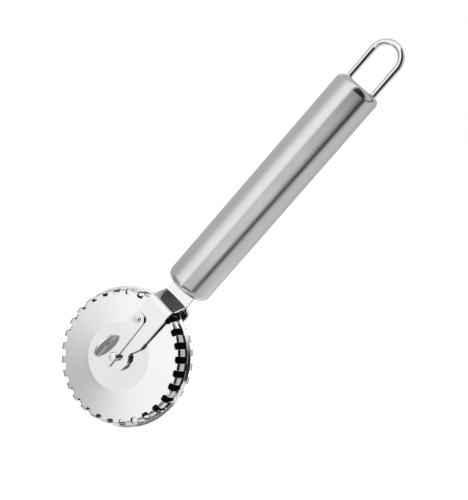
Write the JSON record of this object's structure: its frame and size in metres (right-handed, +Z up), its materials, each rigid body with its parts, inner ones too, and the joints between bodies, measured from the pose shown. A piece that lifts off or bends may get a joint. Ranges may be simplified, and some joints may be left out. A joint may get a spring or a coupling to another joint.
{
  "type": "pastry cutter wheel",
  "caption": "Pastry wheel that cuts and crimps: a knife-edged disc between two toothed discs, turning in a latched fork on a tube handle with a hanging loop.",
  "frame": {"origin": "the point on the inside of the hanging loop's top, on the handle's centre line, where a hook carries the tool", "axes": "+Z up along the handle from the wheel to the loop, Y along the wheel's axle with the latch on the -Y front, +X to the right seen from the front"},
  "size_m": [0.0596, 0.0281, 0.201],
  "materials": {
    "brushed_tube": "brushed along the handle, satin",
    "polished_steel": "mirror polished stainless steel",
    "satin_steel": "fine satin stainless strip",
    "plain_steel": "plain turned steel, hidden inside"
  },
  "bodies": {
    "handle": {"handle_tube": "brushed_tube", "handle_bottom_cap": "brushed_tube", "handle_top_cap": "brushed_tube", "hanging_loop": "polished_steel", "tang_pin_lower": "plain_steel", "tang_pin_upper": "plain_steel", "front_arm": "satin_steel", "rear_arm": "satin_steel", "axle_pin": "polished_steel", "latch_rivet": "polished_steel", "latch_washer": "polished_steel"},
    "wheel": {"cutting_disc": "polished_steel", "front_toothed_disc": "polished_steel", "rear_toothed_disc": "polished_steel", "hub_sleeve": "polished_steel", "front_hub_washer": "polished_steel", "rear_hub_washer": "polished_steel", "front_hub_spacer": "plain_steel", "rear_hub_spacer": "plain_steel"},
    "latch": {"latch_plate": "satin_steel"}
  },
  "joints": [
    {"name": "wheel_spin", "type": "hinge", "parent": "handle", "child": "wheel", "pos_m": [0, 0, -0.1685], "axis": [0, 1, 0], "continuous": true},
    {"name": "latch_swing", "type": "hinge", "parent": "handle", "child": "latch", "pos_m": [-0.0032, -0.0102, -0.1503], "axis": [0, 1, 0], "range_deg": [0, 90]}
  ]
}
